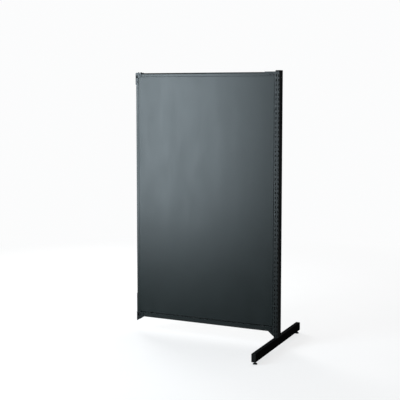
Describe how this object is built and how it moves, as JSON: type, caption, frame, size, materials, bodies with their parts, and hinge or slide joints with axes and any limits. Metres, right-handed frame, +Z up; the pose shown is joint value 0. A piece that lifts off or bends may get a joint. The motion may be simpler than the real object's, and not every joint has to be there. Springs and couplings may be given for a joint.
{
  "type": "gondola shelving unit",
  "caption": "Double-sided gondola add-on bay: slotted upright on a T foot with levelling feet, and a framed back panel with corner brackets that join the next bay.",
  "frame": {"origin": "on the floor under the middle of the bay's outer box", "axes": "+X from the free end to the upright, +Y to the rear, +Z up; the front faces -Y"},
  "size_m": [0.87, 0.7, 1.5],
  "materials": {
    "panel_paint": "satin",
    "frame_paint": "satin",
    "bracket_paint": "satin",
    "upright_paint": "satin",
    "foot_paint": "satin",
    "black_plastic": "matte",
    "cup_black": "satin",
    "nylon": "matte",
    "zinc": "zinc plated",
    "spring_steel": "satin",
    "black_screw": "black oxide"
  },
  "bodies": {
    "bay": {"upright": "upright_paint", "upright_cap": "black_plastic", "upright_nuts": "zinc", "foot_bar": "foot_paint", "foot_tongue": "foot_paint", "tongue_nuts": "zinc", "foot_cap_front": "black_plastic", "foot_cap_rear": "black_plastic", "adjuster_nuts": "zinc", "jam_nuts": "zinc", "top_rail": "frame_paint", "bottom_beam": "frame_paint", "left_stile": "frame_paint", "right_stile": "frame_paint", "mid_rail": "frame_paint", "bracket_top_left": "bracket_paint", "bracket_top_right": "bracket_paint", "bracket_bottom_left": "bracket_paint", "bracket_bottom_right": "bracket_paint", "bracket_screws": "black_screw", "top_screws": "black_screw", "joining_bolts": "black_screw", "panel_front": "panel_paint", "panel_rear": "panel_paint", "ribs_front": "frame_paint", "ribs_rear": "frame_paint", "panel_seats": "black_plastic", "clips_front": "spring_steel", "clips_rear": "spring_steel"},
    "front_pad": {"pad_front": "cup_black", "glide_front": "nylon"},
    "front_stem": {"stem_front": "zinc"},
    "rear_pad": {"pad_rear": "cup_black", "glide_rear": "nylon"},
    "rear_stem": {"stem_rear": "zinc"}
  },
  "joints": [
    {"name": "front_level", "type": "slide", "parent": "bay", "child": "front_pad", "axis": [0, 0, -1], "range_m": [0, 0.015]},
    {"name": "front_turn", "type": "hinge", "parent": "front_pad", "child": "front_stem", "pos_m": [0.4225, -0.328, 0.02], "axis": [0, 0, -1], "range_deg": [0, 4319.9]},
    {"name": "rear_level", "type": "slide", "parent": "bay", "child": "rear_pad", "axis": [0, 0, -1], "range_m": [0, 0.015]},
    {"name": "rear_turn", "type": "hinge", "parent": "rear_pad", "child": "rear_stem", "pos_m": [0.4225, 0.328, 0.02], "axis": [0, 0, -1], "range_deg": [0, 4319.9]}
  ],
  "couplings": [
    {"joint": "front_level", "follows": "front_turn", "m_per_rad": 0.00019894},
    {"joint": "rear_level", "follows": "rear_turn", "m_per_rad": 0.00019894}
  ]
}
